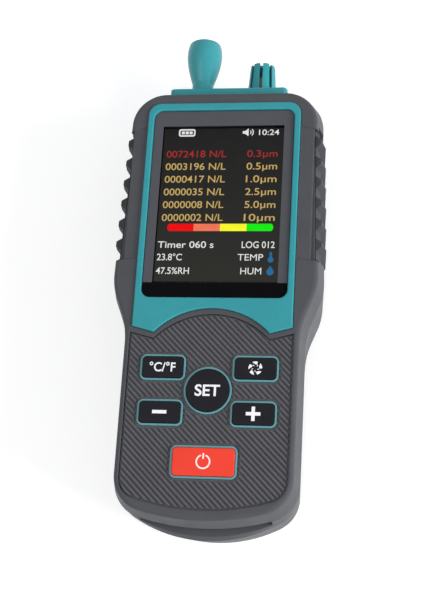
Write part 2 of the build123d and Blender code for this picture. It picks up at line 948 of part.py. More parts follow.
with BuildPart() as board_screws:
    with BuildSketch(Plane.XY.offset(board_low_z - board_screw_head)) as board_heads:
        with Locations(*board_screw_sites):
            Circle(board_screw_head_radius)
    extrude(board_heads.sketch, amount=board_screw_head)
    with BuildSketch(Plane.XY.offset(board_low_z)) as board_shanks:
        with Locations(*board_screw_sites):
            Circle(board_screw_radius)
    extrude(board_shanks.sketch, amount=board_screw_length - fit_gap)
board_screws.part.label = "board_screws"
export_step(board_screws.part, "parts/board_screws.step")

with BuildPart() as buzzer:
    with BuildSketch(Plane.XY.offset(board_low_z)) as buzzer_plan:
        with Locations((buzzer_x, top_y - buzzer_drop)):
            Circle(buzzer_radius)
    extrude(buzzer_plan.sketch, amount=-buzzer_height)
    with BuildSketch(Plane.XY.offset(board_low_z - buzzer_height)) as buzzer_hole:
        with Locations((buzzer_x, top_y - buzzer_drop)):
            Circle(buzzer_port)
    extrude(buzzer_hole.sketch, amount=buzzer_height / 2, mode=Mode.SUBTRACT)
buzzer.part.label = "buzzer"
export_step(buzzer.part, "parts/buzzer.step")

# Housing screws, driven from the back
with BuildPart() as housing_screws:
    with BuildSketch(Plane.XY.offset(screw_seat_z)) as screw_plan:
        with Locations(*housing_screw_sites):
            Circle(screw_radius)
    extrude(screw_plan.sketch, amount=screw_length)
    with BuildSketch(Plane.XY.offset(screw_seat_z)) as head_plan:
        with Locations(*housing_screw_sites):
            Circle(screw_head_radius)
    extrude(head_plan.sketch, amount=-screw_head)
housing_screws.part.label = "housing_screws"
export_step(housing_screws.part, "parts/housing_screws.step")

# Top plate, bored for the sampling nozzle and the sensor
with BuildPart() as top_plate:
    extrude(plate_outline(), amount=plate_y - plate_inner_y)
    chamfer(top_plate.faces().sort_by(Axis.Y)[-1].edges(), plate_edge)
    with BuildSketch(Plane.XZ.offset(-plate_y)) as nozzle_hole:
        with Locations((probe_x, probe_z)):
            Circle(nozzle_radius + nozzle_gap)
    extrude(nozzle_hole.sketch, amount=plate_y - plate_inner_y, mode=Mode.SUBTRACT)
    with BuildSketch(Plane.XZ.offset(-plate_y)) as cage_seat:
        with Locations((cage_x, probe_z)):
            Circle(cage_base / 2 + nozzle_gap)
    extrude(cage_seat.sketch, amount=cage_root, mode=Mode.SUBTRACT)
    with BuildSketch(Plane.XZ.offset(-plate_y)) as sensor_slot:
        with Locations((cage_x - sensor_shift, probe_z)):
            Rectangle(sensor_thickness + 2 * nozzle_gap, sensor_width + 2 * nozzle_gap)
    extrude(sensor_slot.sketch, amount=plate_y - plate_inner_y, mode=Mode.SUBTRACT)
top_plate.part.label = "top_plate"
export_step(top_plate.part, "parts/top_plate.step")

# Sampling horn: a turned bell that pushes over the nozzle
horn_plane = Plane(origin=(probe_x, plate_y, probe_z), x_dir=(1, 0, 0), z_dir=(0, 0, 1))
horn_axis = Axis((probe_x, plate_y, probe_z), (0, 1, 0))
socket_radius = nozzle_radius + nozzle_gap
with BuildPart() as sampling_horn:
    with BuildSketch(horn_plane) as horn_profile:
        with BuildLine():
            Line((socket_radius, 0), (horn_neck / 2, 0))
            Line((horn_neck / 2, 0), (horn_neck / 2, horn_neck_height))
            Spline(
                (horn_neck / 2, horn_neck_height),
                (horn_waist / 2, horn_waist_height),
                (horn_belly / 2, horn_belly_height),
                (horn_shoulder / 2, horn_shoulder_height),
                (horn_mouth / 2 + horn_lip, horn_height),
                tangents=((0.3, 1), (-1, 0.35)),
            )
            Polyline(
                (horn_mouth / 2 + horn_lip, horn_height),
                (horn_mouth / 2, horn_height),
                (nozzle_bore, horn_socket_depth + horn_funnel),
                (nozzle_bore, horn_socket_depth),
                (socket_radius, horn_socket_depth),
                (socket_radius, 0),
            )
        make_face()
    revolve(axis=horn_axis)
sampling_horn.part.label = "sampling_horn"
export_step(sampling_horn.part, "parts/sampling_horn.step")

# Nozzle: it stands through the plate, with a flange and a hose tail inside
nozzle_tip = horn_socket_depth - fit_gap
flange_depth = plate_y - plate_inner_y
seal_root = nozzle_radius - 2 * seal_radius
with BuildPart() as inlet_nozzle:
    with BuildSketch(horn_plane) as nozzle_profile:
        with BuildLine():
            Polyline(
                (nozzle_bore, nozzle_tip),
                (nozzle_radius, nozzle_tip),
                (nozzle_radius, seal_height + seal_radius + seal_gap),
                (seal_root, seal_height + seal_radius + seal_gap),
                (seal_root, seal_height - seal_radius - seal_gap),
                (nozzle_radius, seal_height - seal_radius - seal_gap),
                (nozzle_radius, -flange_depth),
                (nozzle_flange_radius, -flange_depth),
                (nozzle_flange_radius, -flange_depth - nozzle_flange),
                (nozzle_radius, -flange_depth - nozzle_flange),
                (nozzle_radius, -flange_depth - nozzle_flange - nozzle_tail),
                (nozzle_bore, -flange_depth - nozzle_flange - nozzle_tail),
                close=True,
            )
        make_face()
    revolve(axis=horn_axis)
inlet_nozzle.part.label = "inlet_nozzle"
export_step(inlet_nozzle.part, "parts/inlet_nozzle.step")

with BuildPart() as inlet_seal:
    with BuildSketch(horn_plane) as seal_profile:
        with Locations((seal_root + seal_gap + seal_radius, seal_height)):
            Circle(seal_radius)
    revolve(axis=horn_axis)
inlet_seal.part.label = "inlet_seal"
export_step(inlet_seal.part, "parts/inlet_seal.step")

# Cage: a tapered cup cut into fins, whose tips stand past the cap that closes it
cage_plane = Plane(origin=(cage_x, plate_y, probe_z), x_dir=(1, 0, 0), z_dir=(0, 0, 1))
cage_axis = Axis((cage_x, plate_y, probe_z), (0, 1, 0))
with BuildPart() as sensor_cage:
    with BuildSketch(cage_plane) as cage_profile:
        with BuildLine():
            Polyline(
                (cage_base / 2 - cage_wall, -cage_root),
                (cage_base / 2, -cage_root),
                (cage_base / 2, 0),
                (cage_tip / 2, cage_height),
                (cage_tip / 2 - cage_wall, cage_height),
                (cage_base / 2 - cage_wall, 0),
                close=True,
            )
        make_face()
    revolve(axis=cage_axis)
    with BuildSketch(Plane.XZ.offset(-plate_y - cage_height)) as cage_cuts:
        with Locations((cage_x, probe_z)):
            with PolarLocations(cage_base / 2, cage_slots):
                Rectangle(cage_base, cage_slot_width)
        with Locations((cage_x, probe_z)):
            Circle(cage_tip / 2 - cage_wall - fit_gap, mode=Mode.SUBTRACT)
    extrude(cage_cuts.sketch, amount=cage_height - cage_ring, mode=Mode.SUBTRACT)
    with BuildSketch(Plane.XZ.offset(-plate_y - cage_height + cage_crown)) as cap_plan:
        with Locations((cage_x, probe_z)):
            Circle(cage_tip / 2 - cage_wall / 2)
    extrude(cap_plan.sketch, amount=cage_cap)
sensor_cage.part.label = "sensor_cage"
export_step(sensor_cage.part, "parts/sensor_cage.step")

# Sensor board, standing on edge inside the cage
with BuildPart() as humidity_sensor:
    with BuildSketch(Plane.XZ.offset(-plate_inner_y + sensor_root)) as sensor_plan:
        with Locations((cage_x - sensor_shift, probe_z)):
            Rectangle(sensor_thickness, sensor_width)
    extrude(sensor_plan.sketch, amount=-sensor_root - flange_depth - sensor_height)
humidity_sensor.part.label = "humidity_sensor"
export_step(humidity_sensor.part, "parts/humidity_sensor.step")

# Optical chamber: the air crosses the laser beam in its bore
with BuildPart() as optical_chamber:
    with BuildSketch(Plane.XZ.offset(-chamber_y)) as chamber_plan:
        with Locations((probe_x, probe_z)):
            Rectangle(chamber_width, chamber_height)
    extrude(chamber_plan.sketch, amount=chamber_length)
    with BuildSketch(Plane.XZ.offset(-chamber_y)) as spigot_plan:
        with Locations((probe_x, probe_z)):
            Circle(nozzle_radius)
    extrude(spigot_plan.sketch, amount=-chamber_spigot)
    with BuildSketch(Plane.XZ.offset(-chamber_y)) as inlet_bore:
        with Locations((probe_x, probe_z)):
            Circle(nozzle_bore)
    extrude(inlet_bore.sketch, amount=chamber_length, both=True, mode=Mode.SUBTRACT)
    with BuildSketch(Plane.XZ.offset(-chamber_low_y)) as flow_bore:
        with Locations((probe_x, probe_z)):
            Circle(chamber_bore)
    extrude(flow_bore.sketch, amount=-chamber_length + chamber_bore, mode=Mode.SUBTRACT)
    with BuildSketch(Plane.YZ.offset(chamber_side_x)) as laser_bore:
        with Locations((laser_y, probe_z)):
            Circle(laser_radius + nozzle_gap)
    extrude(laser_bore.sketch, amount=-laser_seat, mode=Mode.SUBTRACT)
    with BuildSketch(Plane.YZ.offset(chamber_side_x)) as beam_bore:
        with Locations((laser_y, probe_z)):
            Circle(beam_radius)
    extrude(beam_bore.sketch, amount=-chamber_width * 0.8, mode=Mode.SUBTRACT)
    with BuildSketch(Plane.XY.offset(chamber_low_z)) as detector_bore:
        with Locations((probe_x, laser_y)):
            Circle(detector_window)
    extrude(detector_bore.sketch, amount=chamber_height / 2, mode=Mode.SUBTRACT)
optical_chamber.part.label = "optical_chamber"
export_step(optical_chamber.part, "parts/optical_chamber.step")

with BuildPart() as photodetector_board:
    with BuildSketch(Plane.XY.offset(detector_low_z)) as detector_plan:
        with Locations((probe_x, chamber_y - chamber_length / 2)):
            Rectangle(chamber_width + 2 * detector_margin, chamber_length)
    extrude(detector_plan.sketch, amount=detector_thickness)
photodetector_board.part.label = "photodetector_board"
export_step(photodetector_board.part, "parts/photodetector_board.step")

with BuildPart() as laser_diode:
    with BuildSketch(Plane.YZ.offset(chamber_side_x - laser_seat)) as barrel_plan:
        with Locations((laser_y, probe_z)):
            Circle(laser_radius)
    extrude(barrel_plan.sketch, amount=laser_length - laser_cap_length)
    with BuildSketch(Plane.YZ.offset(chamber_side_x - laser_seat)) as cap_plan:
        with Locations((laser_y, probe_z)):
            Circle(laser_cap_radius)
    extrude(cap_plan.sketch, amount=laser_length)
laser_diode.part.label = "laser_diode"
export_step(laser_diode.part, "parts/laser_diode.step")

# Hose from the nozzle's tail to the spigot of the chamber
with BuildPart() as inlet_tube:
    with BuildSketch(Plane.XZ.offset(-chamber_y)) as hose_plan:
        with Locations((probe_x, probe_z)):
            Circle(nozzle_radius + nozzle_gap + tube_wall)
            Circle(nozzle_radius + nozzle_gap, mode=Mode.SUBTRACT)
    extrude(hose_plan.sketch, amount=-(plate_inner_y - nozzle_flange - chamber_y))
inlet_tube.part.label = "inlet_tube"
export_step(inlet_tube.part, "parts/inlet_tube.step")

# Blower that draws the sample through the chamber
cavity_radius = rotor_radius + rotor_gap
cover_z = blower_top_z - blower_wall
rotor_low_z = blower_z + blower_wall + motor_height + rotor_lift
rotor_top_z = cover_z - rotor_lift
with BuildPart() as blower_housing:
    with BuildSketch(Plane.XY.offset(blower_z)) as housing_plan:
        with Locations((probe_x, blower_y)):
            RectangleRounded(blower_size, blower_size, 2 * blower_wall)
    extrude(housing_plan.sketch, amount=blower_height - blower_wall)
    with BuildSketch(Plane.XY.offset(blower_z + blower_wall)) as scroll_plan:
        with Locations((probe_x, blower_y)):
            Circle(cavity_radius)
        with Locations((probe_x + blower_size / 4, blower_y - cavity_radius + blower_outlet / 2)):
            Rectangle(blower_size / 2, blower_outlet)
    extrude(scroll_plan.sketch, amount=blower_height, mode=Mode.SUBTRACT)
blower_housing.part.label = "blower_housing"
export_step(blower_housing.part, "parts/blower_housing.step")

with BuildPart() as blower_cover:
    with BuildSketch(Plane.XY.offset(cover_z)) as cover_plan:
        with Locations((probe_x, blower_y)):
            RectangleRounded(blower_size, blower_size, 2 * blower_wall)
            Circle(blower_inlet, mode=Mode.SUBTRACT)
    extrude(cover_plan.sketch, amount=blower_wall)
blower_cover.part.label = "blower_cover"
export_step(blower_cover.part, "parts/blower_cover.step")

with BuildPart() as blower_motor:
    with BuildSketch(Plane.XY.offset(blower_z + blower_wall)) as motor_plan:
        with Locations((probe_x, blower_y)):
            Circle(motor_radius)
    extrude(motor_plan.sketch, amount=motor_height)
    with BuildSketch(Plane.XY.offset(blower_z + blower_wall)) as shaft_plan:
        with Locations((probe_x, blower_y)):
            Circle(shaft_radius)
    extrude(shaft_plan.sketch, amount=rotor_top_z - rotor_lift - blower_z - blower_wall)
blower_motor.part.label = "blower_motor"
export_step(blower_motor.part, "parts/blower_motor.step")

with BuildPart() as blower_rotor:
    with BuildSketch(Plane.XY.offset(rotor_low_z)) as disc_plan:
        with Locations((probe_x, blower_y)):
            Circle(rotor_radius)
    extrude(disc_plan.sketch, amount=rotor_disc)
    with BuildSketch(Plane.XY.offset(rotor_low_z)) as hub_plan:
        with Locations((probe_x, blower_y)):
            Circle(rotor_hub)
    extrude(hub_plan.sketch, amount=rotor_top_z - rotor_low_z)
    with BuildSketch(Plane.XY.offset(rotor_low_z)) as blade_plan:
        with Locations((probe_x, blower_y)):
            with PolarLocations(rotor_radius - rotor_blade_length / 2 - rotor_disc, rotor_blades):
                Rectangle(rotor_blade_length, rotor_blade_thickness, rotation=rotor_blade_angle)
    extrude(blade_plan.sketch, amount=rotor_top_z - rotor_low_z)
    with BuildSketch(Plane.XY.offset(rotor_low_z)) as rotor_bore:
        with Locations((probe_x, blower_y)):
            Circle(shaft_radius + shaft_fit)
    extrude(rotor_bore.sketch, amount=blower_height, mode=Mode.SUBTRACT)
blower_rotor.part.label = "blower_rotor"
export_step(blower_rotor.part, "parts/blower_rotor.step")

# Duct from the outlet of the chamber to the inlet of the blower
duct_low_y = blower_y - blower_inlet - duct_wall
with BuildPart() as suction_duct:
    with BuildSketch(Plane.XZ.offset(-chamber_low_y)) as duct_plan:
        with Locations((probe_x, blower_top_z + duct_height / 2)):
            Rectangle(duct_width, duct_height)
    extrude(duct_plan.sketch, amount=chamber_low_y - duct_low_y)
    with BuildSketch(Plane.XZ.offset(-chamber_low_y)) as channel_plan:
        with Locations((probe_x, blower_top_z + duct_height / 2)):
            Rectangle(duct_width - 2 * duct_wall, duct_height - 2 * duct_wall)
    extrude(channel_plan.sketch, amount=chamber_low_y - duct_low_y - duct_wall, mode=Mode.SUBTRACT)
    with BuildSketch(Plane.XY.offset(blower_top_z)) as inlet_plan:
        with Locations((probe_x, blower_y)):
            Circle(blower_inlet)
    extrude(inlet_plan.sketch, amount=duct_height / 2, mode=Mode.SUBTRACT)
suction_duct.part.label = "suction_duct"
export_step(suction_duct.part, "parts/suction_duct.step")

# Battery: two cells in a cradle, with a contact at each end
cell_z = back_wall + cradle_floor + cell_gap + cell_radius
cell_top_y = top_y - cell_drop
cell_middle_y = cell_top_y - cell_length / 2
cradle_inner = cell_length + 2 * contact_thickness
for side, name in ((-1, "battery_cell_left"), (1, "battery_cell_right")):
    with BuildPart() as cell:
        with BuildSketch(Plane.XZ.offset(-cell_top_y)) as cell_plan:
            with Locations((side * cell_spacing / 2, cell_z)):
                Circle(cell_radius)
        extrude(cell_plan.sketch, amount=cell_length)
    cell.part.label = name
    export_step(cell.part, f"parts/{name}.step")

with BuildPart() as battery_cradle:
    with BuildSketch(Plane.XY.offset(back_wall)) as cradle_plan:
        with Locations((0, cell_middle_y)):
            Rectangle(
                cell_spacing + 2 * (cell_radius + cell_gap + cradle_wall), cradle_inner + 2 * cradle_wall
            )
    extrude(cradle_plan.sketch, amount=cradle_height)
    with BuildSketch(Plane.XZ.offset(-cell_middle_y)) as cradle_bores:
        with Locations((-cell_spacing / 2, cell_z), (cell_spacing / 2, cell_z)):
            Circle(cell_radius + cell_gap)
    extrude(cradle_bores.sketch, amount=cradle_inner / 2, both=True, mode=Mode.SUBTRACT)
battery_cradle.part.label = "battery_cradle"
export_step(battery_cradle.part, "parts/battery_cradle.step")

with BuildPart() as battery_contacts:
    for start in (cell_top_y, cell_top_y - cell_length - contact_thickness):
        with BuildSketch(Plane.XZ.offset(-start)) as contact_plan:
            with Locations((-cell_spacing / 2, cell_z), (cell_spacing / 2, cell_z)):
                Circle(contact_radius)
        extrude(contact_plan.sketch, amount=-contact_thickness)
battery_contacts.part.label = "battery_contacts"
export_step(battery_contacts.part, "parts/battery_contacts.step")

# Charging socket: a flat-sided shell with a tongue
with BuildPart() as charge_socket:
    with BuildSketch(Plane.XZ.offset(-socket_y)) as socket_plan:
        with Locations((socket_x, socket_z)):
            SlotOverall(socket_width, socket_height)
    extrude(socket_plan.sketch, amount=-socket_length)
    with BuildSketch(Plane.XZ.offset(-socket_y)) as socket_bore:
        with Locations((socket_x, socket_z)):
            SlotOverall(socket_width - 2 * socket_wall, socket_height - 2 * socket_wall)
    extrude(socket_bore.sketch, amount=-tongue_length - socket_wall, mode=Mode.SUBTRACT)
    with BuildSketch(Plane.XZ.offset(-socket_y - socket_wall)) as tongue_plan:
        with Locations((socket_x, socket_z)):
            Rectangle(tongue_width, tongue_thickness)
    extrude(tongue_plan.sketch, amount=-tongue_length)
charge_socket.part.label = "charge_socket"
export_step(charge_socket.part, "parts/charge_socket.step")

# Brass insert for a tripod screw
with BuildPart() as tripod_insert:
    with BuildSketch() as insert_plan:
        with Locations((0, tripod_y)):
            Circle(tripod_insert_radius)
            Circle(tripod_radius, mode=Mode.SUBTRACT)
    extrude(insert_plan.sketch, amount=tripod_depth)
tripod_insert.part.label = "tripod_insert"
export_step(tripod_insert.part, "parts/tripod_insert.step")
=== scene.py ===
import json
import math

import bpy
from mathutils import Matrix, Vector


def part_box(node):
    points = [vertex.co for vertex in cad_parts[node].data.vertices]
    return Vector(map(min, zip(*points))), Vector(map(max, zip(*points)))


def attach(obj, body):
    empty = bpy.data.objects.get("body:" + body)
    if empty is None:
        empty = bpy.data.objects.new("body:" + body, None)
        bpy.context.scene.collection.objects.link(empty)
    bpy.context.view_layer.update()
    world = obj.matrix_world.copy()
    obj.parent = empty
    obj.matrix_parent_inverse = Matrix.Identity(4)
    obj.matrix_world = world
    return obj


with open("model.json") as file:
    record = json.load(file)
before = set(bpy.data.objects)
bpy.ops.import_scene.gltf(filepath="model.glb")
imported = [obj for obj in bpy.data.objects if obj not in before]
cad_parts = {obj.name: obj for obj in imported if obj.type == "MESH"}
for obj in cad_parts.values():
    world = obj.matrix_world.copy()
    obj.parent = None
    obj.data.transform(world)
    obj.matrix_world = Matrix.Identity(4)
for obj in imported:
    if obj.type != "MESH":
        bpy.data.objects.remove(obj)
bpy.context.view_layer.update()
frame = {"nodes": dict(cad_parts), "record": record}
nodes = frame["nodes"]
scene = bpy.context.scene

# Measures, in mm where no unit is given.
MM = 0.001
WINDOW_LOW, WINDOW_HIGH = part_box("display_window")
WINDOW_RECESS = 0.1
DISPLAY_SHIFT = 0.3
FACE_Z = WINDOW_HIGH.z + WINDOW_RECESS * MM
DISPLAY_MIDDLE_Y = (WINDOW_LOW.y + WINDOW_HIGH.y) / 2 / MM + DISPLAY_SHIFT
ACTIVE_WIDTH = 43.2
ACTIVE_LENGTH = 57.6
PRINT_DEPTH = 0.04


# Camera: it stands where the photograph was taken from and turns to the middle of the object
PHOTO_PLACE = Vector((0.067785, DISPLAY_MIDDLE_Y * MM - 0.168368, FACE_Z + 0.401808))
PHOTO_LOOK = Vector((0.00554, 0.46073, -0.88752))
PHOTO_UP = Vector((0.00334, 0.88752, 0.46075))
AIM = Vector((0.0003, -0.0085, 0.026))
LENS = 77.5

camera_data = bpy.data.cameras.new("camera")
camera_data.lens = LENS
camera_data.sensor_width = 36.0
camera_data.clip_start = 0.01
camera_data.clip_end = 20.0
camera = bpy.data.objects.new("camera", camera_data)
scene.collection.objects.link(camera)
right = PHOTO_LOOK.cross(PHOTO_UP).normalized()
stance = Matrix((right, PHOTO_UP, -PHOTO_LOOK)).transposed().to_quaternion()
turn = PHOTO_LOOK.rotation_difference(AIM - PHOTO_PLACE)
camera.rotation_mode = "QUATERNION"
camera.location = PHOTO_PLACE
camera.rotation_quaternion = turn @ stance
scene.camera = camera
scene.view_settings.view_transform = "Standard"


# Light: a white room, a broad soft light from the upper left and a smaller low one from the right
HIGH_LIGHT_PLACE = (-0.45, -0.4, 1.05)
HIGH_LIGHT_SIZE = 1.1
HIGH_LIGHT_POWER = 6.0
LOW_LIGHT_PLACE = (1.0, -0.25, 0.4)
LOW_LIGHT_SIZE = 0.6
LOW_LIGHT_POWER = 15.0
ROOM_COLOUR = (0.97, 0.98, 1.0, 1.0)
ROOM_LIGHT = 0.48
FLOOR_GLOW = 0.42


def seen_directly(tree):
    """1 for rays from the camera and for reflected and transmitted rays, and 0 for the rest."""
    path = tree.nodes.new("ShaderNodeLightPath")
    total = path.outputs["Is Camera Ray"]
    for kind in ("Is Glossy Ray", "Is Transmission Ray"):
        either = tree.nodes.new("ShaderNodeMath")
        either.operation = "MAXIMUM"
        tree.links.new(total, either.inputs[0])
        tree.links.new(path.outputs[kind], either.inputs[1])
        total = either.outputs["Value"]
    return total


def area_light(name, place, size, power):
    """Square soft light that faces the origin."""
    data = bpy.data.lights.new(name, "AREA")
    data.shape = "SQUARE"
    data.size = size
    data.energy = power
    light = bpy.data.objects.new(name, data)
    scene.collection.objects.link(light)
    light.location = place
    light.rotation_mode = "QUATERNION"
    light.rotation_quaternion = (-Vector(place)).to_track_quat("-Z", "Y")
    return light


def ranged(tree, value, low, high, start=0.3, end=0.7):
    """A value spread between two limits."""
    spread = tree.nodes.new("ShaderNodeMapRange")
    spread.inputs["From Min"].default_value = start
    spread.inputs["From Max"].default_value = end
    spread.inputs["To Min"].default_value = low
    spread.inputs["To Max"].default_value = high
    tree.links.new(value, spread.inputs["Value"])
    return spread.outputs["Result"]


world = bpy.data.worlds.new("room")
world.use_nodes = True
room = world.node_tree
background = room.nodes["Background"]
background.inputs["Color"].default_value = ROOM_COLOUR
room_strength = ranged(room, seen_directly(room), ROOM_LIGHT, 1.0, 0, 1)
room.links.new(room_strength, background.inputs["Strength"])
scene.world = world
area_light("softbox_near", HIGH_LIGHT_PLACE, HIGH_LIGHT_SIZE, HIGH_LIGHT_POWER)
low_light = area_light("softbox_right", LOW_LIGHT_PLACE, LOW_LIGHT_SIZE, LOW_LIGHT_POWER)
low_light.visible_glossy = False


# Materials
EDGE_RAYS = 6
HOLLOW_REACH = 2.5
RELIEF_STRENGTH = 0.6


def screen_colour(red, green, blue):
    """Linear colour of an 8-bit screen colour."""
    shares = [value / 255 for value in (red, green, blue)]
    linear = [s / 12.92 if s <= 0.04045 else ((s + 0.055) / 1.055) ** 2.4 for s in shares]
    return (*linear, 1.0)


def shaded(colour, share):
    """The same colour, lighter or darker by a share."""
    return (*[min(1.0, part * (1 + share)) for part in colour[:3]], 1.0)


def start_material(name):
    """A material with its shader node."""
    material = bpy.data.materials.new(name)
    material.use_nodes = True
    return material, material.node_tree, material.node_tree.nodes["Principled BSDF"]


def noise(tree, size, detail=3.0, stretch=(1.0, 1.0, 1.0)):
    """Noise in the object's own coordinates, whose lumps are about size mm wide."""
    coordinates = tree.nodes.new("ShaderNodeTexCoord")
    mapping = tree.nodes.new("ShaderNodeMapping")
    mapping.inputs["Scale"].default_value = stretch
    texture = tree.nodes.new("ShaderNodeTexNoise")
    texture.inputs["Scale"].default_value = 1 / (size * MM)
    texture.inputs["Detail"].default_value = detail
    tree.links.new(coordinates.outputs["Object"], mapping.inputs["Vector"])
    tree.links.new(mapping.outputs["Vector"], texture.inputs["Vector"])
    return texture.outputs["Fac"]


def blend(tree, factor, first, second):
    """Two colours mixed by a factor. Either may be a colour or a socket."""
    mix = tree.nodes.new("ShaderNodeMix")
    mix.data_type = "RGBA"
    tree.links.new(factor, mix.inputs["Factor"])
    for source, place in ((first, "A"), (second, "B")):
        socket = [s for s in mix.inputs if s.name == place and s.type == "RGBA"][0]
        if isinstance(source, bpy.types.NodeSocket):
            tree.links.new(source, socket)
        else:
            socket.default_value = source
    return [s for s in mix.outputs if s.type == "RGBA"][0]


def position(tree, axis):
    """One coordinate of the surface point, in metres."""
    coordinates = tree.nodes.new("ShaderNodeTexCoord")
    split = tree.nodes.new("ShaderNodeSeparateXYZ")
    tree.links.new(coordinates.outputs["Object"], split.inputs["Vector"])
    return split.outputs[axis]


def rounded_normal(tree, radius):
    """The surface's normal with its edges rounded over by a radius in mm."""
    bevel = tree.nodes.new("ShaderNodeBevel")
    bevel.samples = EDGE_RAYS
    bevel.inputs["Radius"].default_value = radius * MM
    return bevel.outputs["Normal"]


def edge_mask(tree, normal):
    """1 along rounded edges and 0 on flat ground."""
    geometry = tree.nodes.new("ShaderNodeNewGeometry")
    facing = tree.nodes.new("ShaderNodeVectorMath")
    facing.operation = "DOT_PRODUCT"
    tree.links.new(normal, facing.inputs[0])
    tree.links.new(geometry.outputs["Normal"], facing.inputs[1])
    return ranged(tree, facing.outputs["Value"], 1.0, 0.0, 0.8, 0.99)


def relief(tree, height, depth, normal=None):
    """Bump of a depth in mm."""
    bump = tree.nodes.new("ShaderNodeBump")
    bump.inputs["Strength"].default_value = RELIEF_STRENGTH
    bump.inputs["Distance"].default_value = depth * MM
    tree.links.new(height, bump.inputs["Height"])
    if normal:
        tree.links.new(normal, bump.inputs["Normal"])
    return bump.outputs["Normal"]


def moulded(
    name,
    colour,
    roughness,
    mottle=0.06,
    patch=7.0,
    grain=0.35,
    depth=0.03,
    edge=0.0,
    edge_highlight=0.0,
    gloss=0.3,
    hollow_shade=0.0,
):
    """Moulded plastic or rubber: faint patches, a grained skin, and edges rounded and painted lighter
    as a highlight.

    Painted shade darkens hollows by a share. Patch, grain, depth and edge are in mm."""
    material, tree, shader = start_material(name)
    patches = noise(tree, patch)
    tint = blend(tree, ranged(tree, patches, 0, 1), shaded(colour, -mottle), shaded(colour, mottle))
    skin = noise(tree, grain, 2.0)
    normal = None
    if edge:
        normal = rounded_normal(tree, edge)
        # Painted highlight: rounded edges are lightened towards a lighter copy of the colour
        painted_highlight = ranged(tree, edge_mask(tree, normal), 0, edge_highlight, 0, 1)
        tint = blend(tree, painted_highlight, tint, shaded(colour, 1.2))
    if hollow_shade:
        # Painted shade: hollows found by ambient occlusion are darkened towards a darker copy of the
        # colour
        hollow = tree.nodes.new("ShaderNodeAmbientOcclusion")
        hollow.samples = EDGE_RAYS
        hollow.inputs["Distance"].default_value = HOLLOW_REACH * MM
        shade = ranged(tree, hollow.outputs["AO"], hollow_shade, 0, 0.2, 0.8)
        tint = blend(tree, shade, tint, shaded(colour, -0.85))
    shader.inputs["Specular IOR Level"].default_value = gloss
    tree.links.new(tint, shader.inputs["Base Color"])
    uneven = ranged(tree, patches, roughness - 0.06, roughness + 0.06)
    tree.links.new(uneven, shader.inputs["Roughness"])
    tree.links.new(relief(tree, skin, depth, normal=normal), shader.inputs["Normal"])
    return material


def metal(name, colour, roughness, grain=1.2):
    """Turned or stamped metal with fine drawn lines and a little tarnish."""
    material, tree, shader = start_material(name)
    lines = noise(tree, grain, 4.0, (1.0, 1.0, 9.0))
    tint = blend(tree, ranged(tree, lines, 0, 1), shaded(colour, -0.25), colour)
    shader.inputs["Metallic"].default_value = 1.0
    tree.links.new(tint, shader.inputs["Base Color"])
    uneven = ranged(tree, lines, roughness - 0.08, roughness + 0.1)
    tree.links.new(uneven, shader.inputs["Roughness"])
    tree.links.new(relief(tree, lines, 0.01), shader.inputs["Normal"])
    return material


def lit(name, colour, lower=None):
    """Glowing part of the display, a little uneven, which may fade to another colour lower down."""
    material, tree, shader = start_material(name)
    patches = noise(tree, 5.0)
    tint = blend(tree, ranged(tree, patches, 0, 1), shaded(colour, -0.08), shaded(colour, 0.08))
    if lower:
        reach = ACTIVE_LENGTH / 2 * MM
        fade = ranged(tree, position(tree, "Y"), 1, 0, -reach, reach)
        tint = blend(tree, fade, tint, lower)
    shader.inputs["Base Color"].default_value = (0.001, 0.001, 0.001, 1.0)
    shader.inputs["Specular IOR Level"].default_value = 0.01
    shader.inputs["Emission Strength"].default_value = 1.0
    tree.links.new(tint, shader.inputs["Emission Color"])
    tree.links.new(ranged(tree, patches, 0.3, 0.4), shader.inputs["Roughness"])
    tree.links.new(relief(tree, noise(tree, 0.3), 0.002), shader.inputs["Normal"])
    return material


def clear_plastic(name):
    """Clear window that lets the display show through and gets a soft sheen at a low angle."""
    material, tree, shader = start_material(name)
    smears = noise(tree, 12.0)
    shader.inputs["IOR"].default_value = 1.45
    tint = blend(tree, ranged(tree, smears, 0, 1), (0.012, 0.012, 0.014, 1), (0.02, 0.02, 0.022, 1))
    tree.links.new(tint, shader.inputs["Base Color"])
    glancing = tree.nodes.new("ShaderNodeLayerWeight")
    glancing.inputs["Blend"].default_value = 0.25
    sheen = ranged(tree, glancing.outputs["Facing"], 0, 0.15, 0.2, 0.9)
    tree.links.new(sheen, shader.inputs["Alpha"])
    tree.links.new(ranged(tree, smears, 0.03, 0.08), shader.inputs["Roughness"])
    tree.links.new(relief(tree, noise(tree, 20.0, 1.0), 0.01), shader.inputs["Normal"])
    return material


